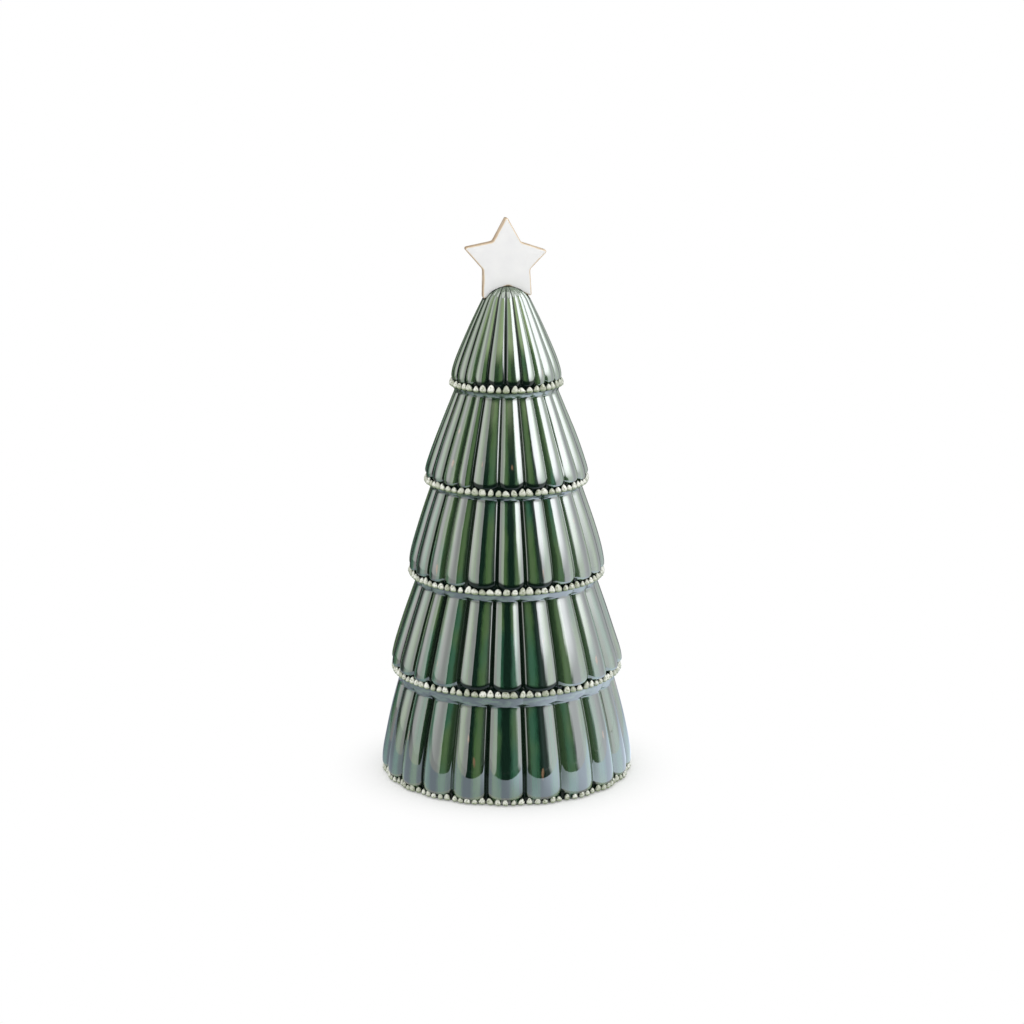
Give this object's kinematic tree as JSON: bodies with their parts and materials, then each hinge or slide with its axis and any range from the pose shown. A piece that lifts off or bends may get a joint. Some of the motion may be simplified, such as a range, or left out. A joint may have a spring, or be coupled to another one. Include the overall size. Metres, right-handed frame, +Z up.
{
  "type": "ceramic christmas tree",
  "caption": "Table-top Christmas tree of stacked fluted stoneware bells in green glaze, with a row of beads round each rim and a star set in the crown.",
  "frame": {"origin": "middle of the foot ring, on the surface that the tree stands on", "axes": "+Z up through the star, -Y towards the front, +X to the right as seen from the front"},
  "size_m": [0.1272, 0.128, 0.2799],
  "materials": {
    "green_glaze": "high gloss, translucent green that pools dark in the grooves",
    "bead_glaze": "gloss cream",
    "star_glaze": "satin white, breaking to tan on the edges"
  },
  "bodies": {
    "root": {"tier_1_base": "green_glaze", "tier_2": "green_glaze", "tier_3": "green_glaze", "tier_4": "green_glaze", "tier_5_crown": "green_glaze", "beads_1": "bead_glaze", "beads_2": "bead_glaze", "beads_3": "bead_glaze", "beads_4": "bead_glaze", "beads_5": "bead_glaze", "star": "star_glaze"}
  },
  "joints": []
}
